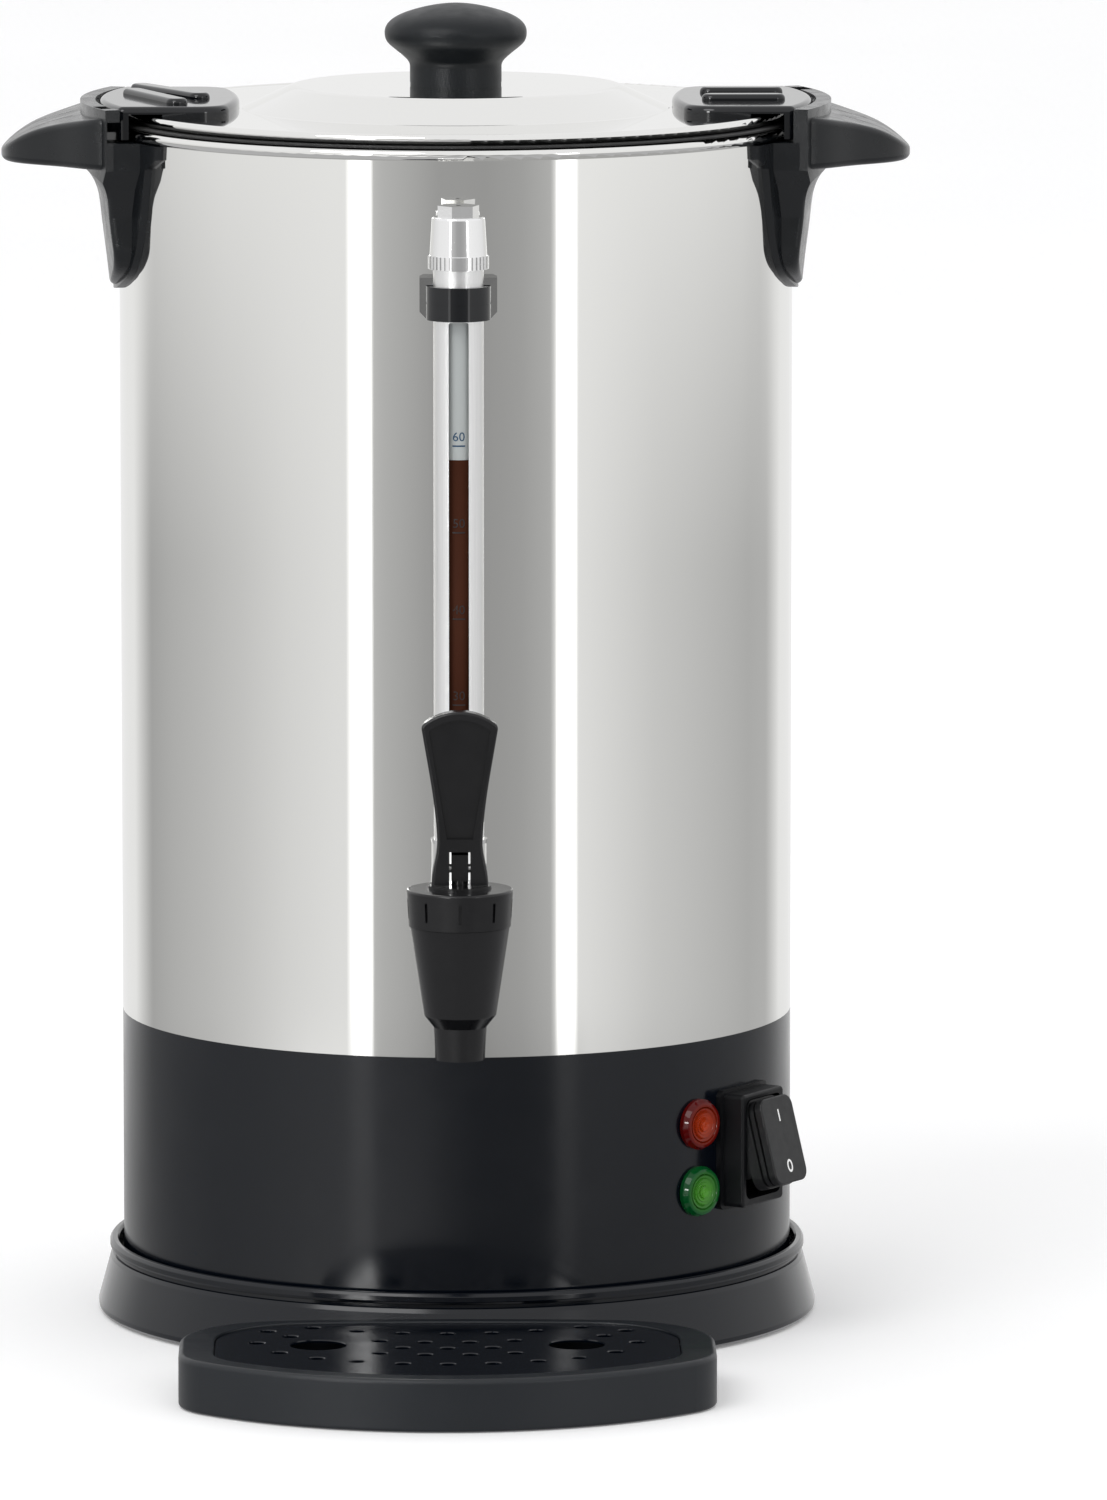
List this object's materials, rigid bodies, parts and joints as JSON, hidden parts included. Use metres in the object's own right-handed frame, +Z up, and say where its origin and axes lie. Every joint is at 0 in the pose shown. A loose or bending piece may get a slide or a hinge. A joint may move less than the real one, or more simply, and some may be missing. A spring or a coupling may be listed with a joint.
{
  "type": "coffee urn",
  "caption": "Tall steel coffee urn with a locking lid, side handles, gauge tube, lever tap, lit switch panel and loose drip tray.",
  "frame": {"origin": "on the urn's vertical axis, at the level of the table it stands on", "axes": "+Z up along the urn's axis, -Y towards the tap and gauge, +X towards the power switch's side"},
  "size_m": [0.3172, 0.368, 0.4604],
  "materials": {
    "polished_steel": "mirror-polished stainless sheet",
    "satin_steel": "satin stainless sheet",
    "steel_hardware": "plain zinc-plated steel",
    "chromed_brass": "chromed brass",
    "aluminium": "plain cast aluminium",
    "element_sheath": "dull element sheath",
    "handle_plastic": "satin black, fine grained",
    "lug_plastic": "glossy black",
    "tap_plastic": "glossy black, soft sheen",
    "base_plastic": "glossy black",
    "switch_plastic": "fine matte black",
    "black_rubber": "matte black rubber",
    "white_silicone": "translucent white silicone",
    "gauge_glass": "clear tube",
    "red_lens": "translucent red, ringed",
    "green_lens": "translucent green, ringed",
    "lamp_plastic": "pale moulded",
    "wire_sleeve": "red heat-proof sleeve"
  },
  "bodies": {
    "urn": {"tank_shell": "polished_steel", "tank_floor": "satin_steel", "handle_left": "handle_plastic", "handle_right": "handle_plastic", "handle_screws": "steel_hardware", "gauge_bracket": "lug_plastic", "gauge_bracket_screw": "steel_hardware", "gauge_shield": "satin_steel", "gauge_glass": "gauge_glass", "gauge_top_seal": "white_silicone", "gauge_lower_seal": "white_silicone", "gauge_lower_nut": "chromed_brass", "tap_shank": "chromed_brass", "tap_outer_washer": "black_rubber", "tap_inner_washer": "black_rubber", "tap_nut": "chromed_brass", "tap_body": "tap_plastic", "tap_bonnet": "tap_plastic", "base_housing": "base_plastic", "base_skirt": "base_plastic", "base_plate": "steel_hardware", "rubber_feet": "black_rubber", "base_screws": "steel_hardware", "heat_plate": "aluminium", "heating_element": "element_sheath", "keep_warm_element": "element_sheath", "heater_clamp": "steel_hardware", "thermostat": "lamp_plastic", "thermal_cutout": "lamp_plastic", "terminal_block": "switch_plastic", "internal_wires": "wire_sleeve", "heating_lens": "red_lens", "keep_warm_lens": "green_lens", "lamp_bodies": "lamp_plastic", "switch_housing": "switch_plastic", "switch_body": "switch_plastic", "appliance_inlet": "switch_plastic", "inlet_pins": "chromed_brass"},
    "lid_seal_ring": {"lid_seal": "black_rubber"},
    "lid": {"lid_shell": "polished_steel", "lid_knob": "handle_plastic", "knob_ring": "black_rubber", "lid_knob_screw": "steel_hardware", "lid_lug_left": "lug_plastic", "lid_lug_right": "lug_plastic", "lid_lug_screws": "steel_hardware"},
    "pump": {"pump_base": "satin_steel", "pump_tube": "satin_steel", "pump_valve": "satin_steel"},
    "basket": {"coffee_basket": "satin_steel", "basket_floor": "satin_steel"},
    "cover": {"basket_cover": "satin_steel"},
    "stem": {"tap_stem": "tap_plastic", "tap_seat_cup": "white_silicone"},
    "lever": {"tap_lever": "tap_plastic", "tap_lever_pin": "steel_hardware"},
    "rocker": {"power_rocker": "switch_plastic"},
    "tray": {"drip_tray": "base_plastic"},
    "grate": {"drip_grate": "base_plastic"},
    "cap": {"gauge_cap": "chromed_brass"}
  },
  "joints": [
    {"name": "lid_lift", "type": "slide", "parent": "urn", "child": "lid_seal_ring", "axis": [0, 0, 1], "range_m": [0, 0.46]},
    {"name": "lid_turn", "type": "hinge", "parent": "lid_seal_ring", "child": "lid", "pos_m": [0, 0, 0.424], "axis": [0, 0, 1], "range_deg": [0, 3.2]},
    {"name": "pump_lift", "type": "slide", "parent": "urn", "child": "pump", "axis": [0, 0, 1], "range_m": [0, 0.3]},
    {"name": "basket_lift", "type": "slide", "parent": "pump", "child": "basket", "axis": [0, 0, 1], "range_m": [0, 0.05]},
    {"name": "cover_lift", "type": "slide", "parent": "basket", "child": "cover", "axis": [0, 0, 1], "range_m": [0, 0.04]},
    {"name": "stem_lift", "type": "slide", "parent": "urn", "child": "stem", "axis": [0, 0, 1], "range_m": [0, 0.004]},
    {"name": "lever_pull", "type": "hinge", "parent": "stem", "child": "lever", "pos_m": [0, -0.17, 0.1805], "axis": [1, 0, 0], "range_deg": [0, 40], "stiffness_Nm_per_rad": 0.4, "springref_deg": -14.32},
    {"name": "switch_rock", "type": "hinge", "parent": "urn", "child": "rocker", "pos_m": [0.10353, -0.06697, 0.0679], "axis": [0.5432, 0.8396, 0], "range_deg": [0, 29.6]},
    {"name": "tray_slide", "type": "slide", "parent": "urn", "child": "tray", "axis": [0, -1, 0], "range_m": [0, 0.12]},
    {"name": "grate_lift", "type": "slide", "parent": "tray", "child": "grate", "axis": [0, 0, 1], "range_m": [0, 0.06]},
    {"name": "cap_turn", "type": "hinge", "parent": "urn", "child": "cap", "pos_m": [0, -0.13, 0.39], "axis": [0, 0, 1], "continuous": true}
  ],
  "couplings": [
    {"joint": "pump_lift", "follows": "lid_lift", "ratio": 0.65},
    {"joint": "basket_lift", "follows": "lid_lift", "ratio": 0.1},
    {"joint": "cover_lift", "follows": "lid_lift", "ratio": 0.08},
    {"joint": "stem_lift", "follows": "lever_pull", "m_per_rad": 0.0057}
  ]
}
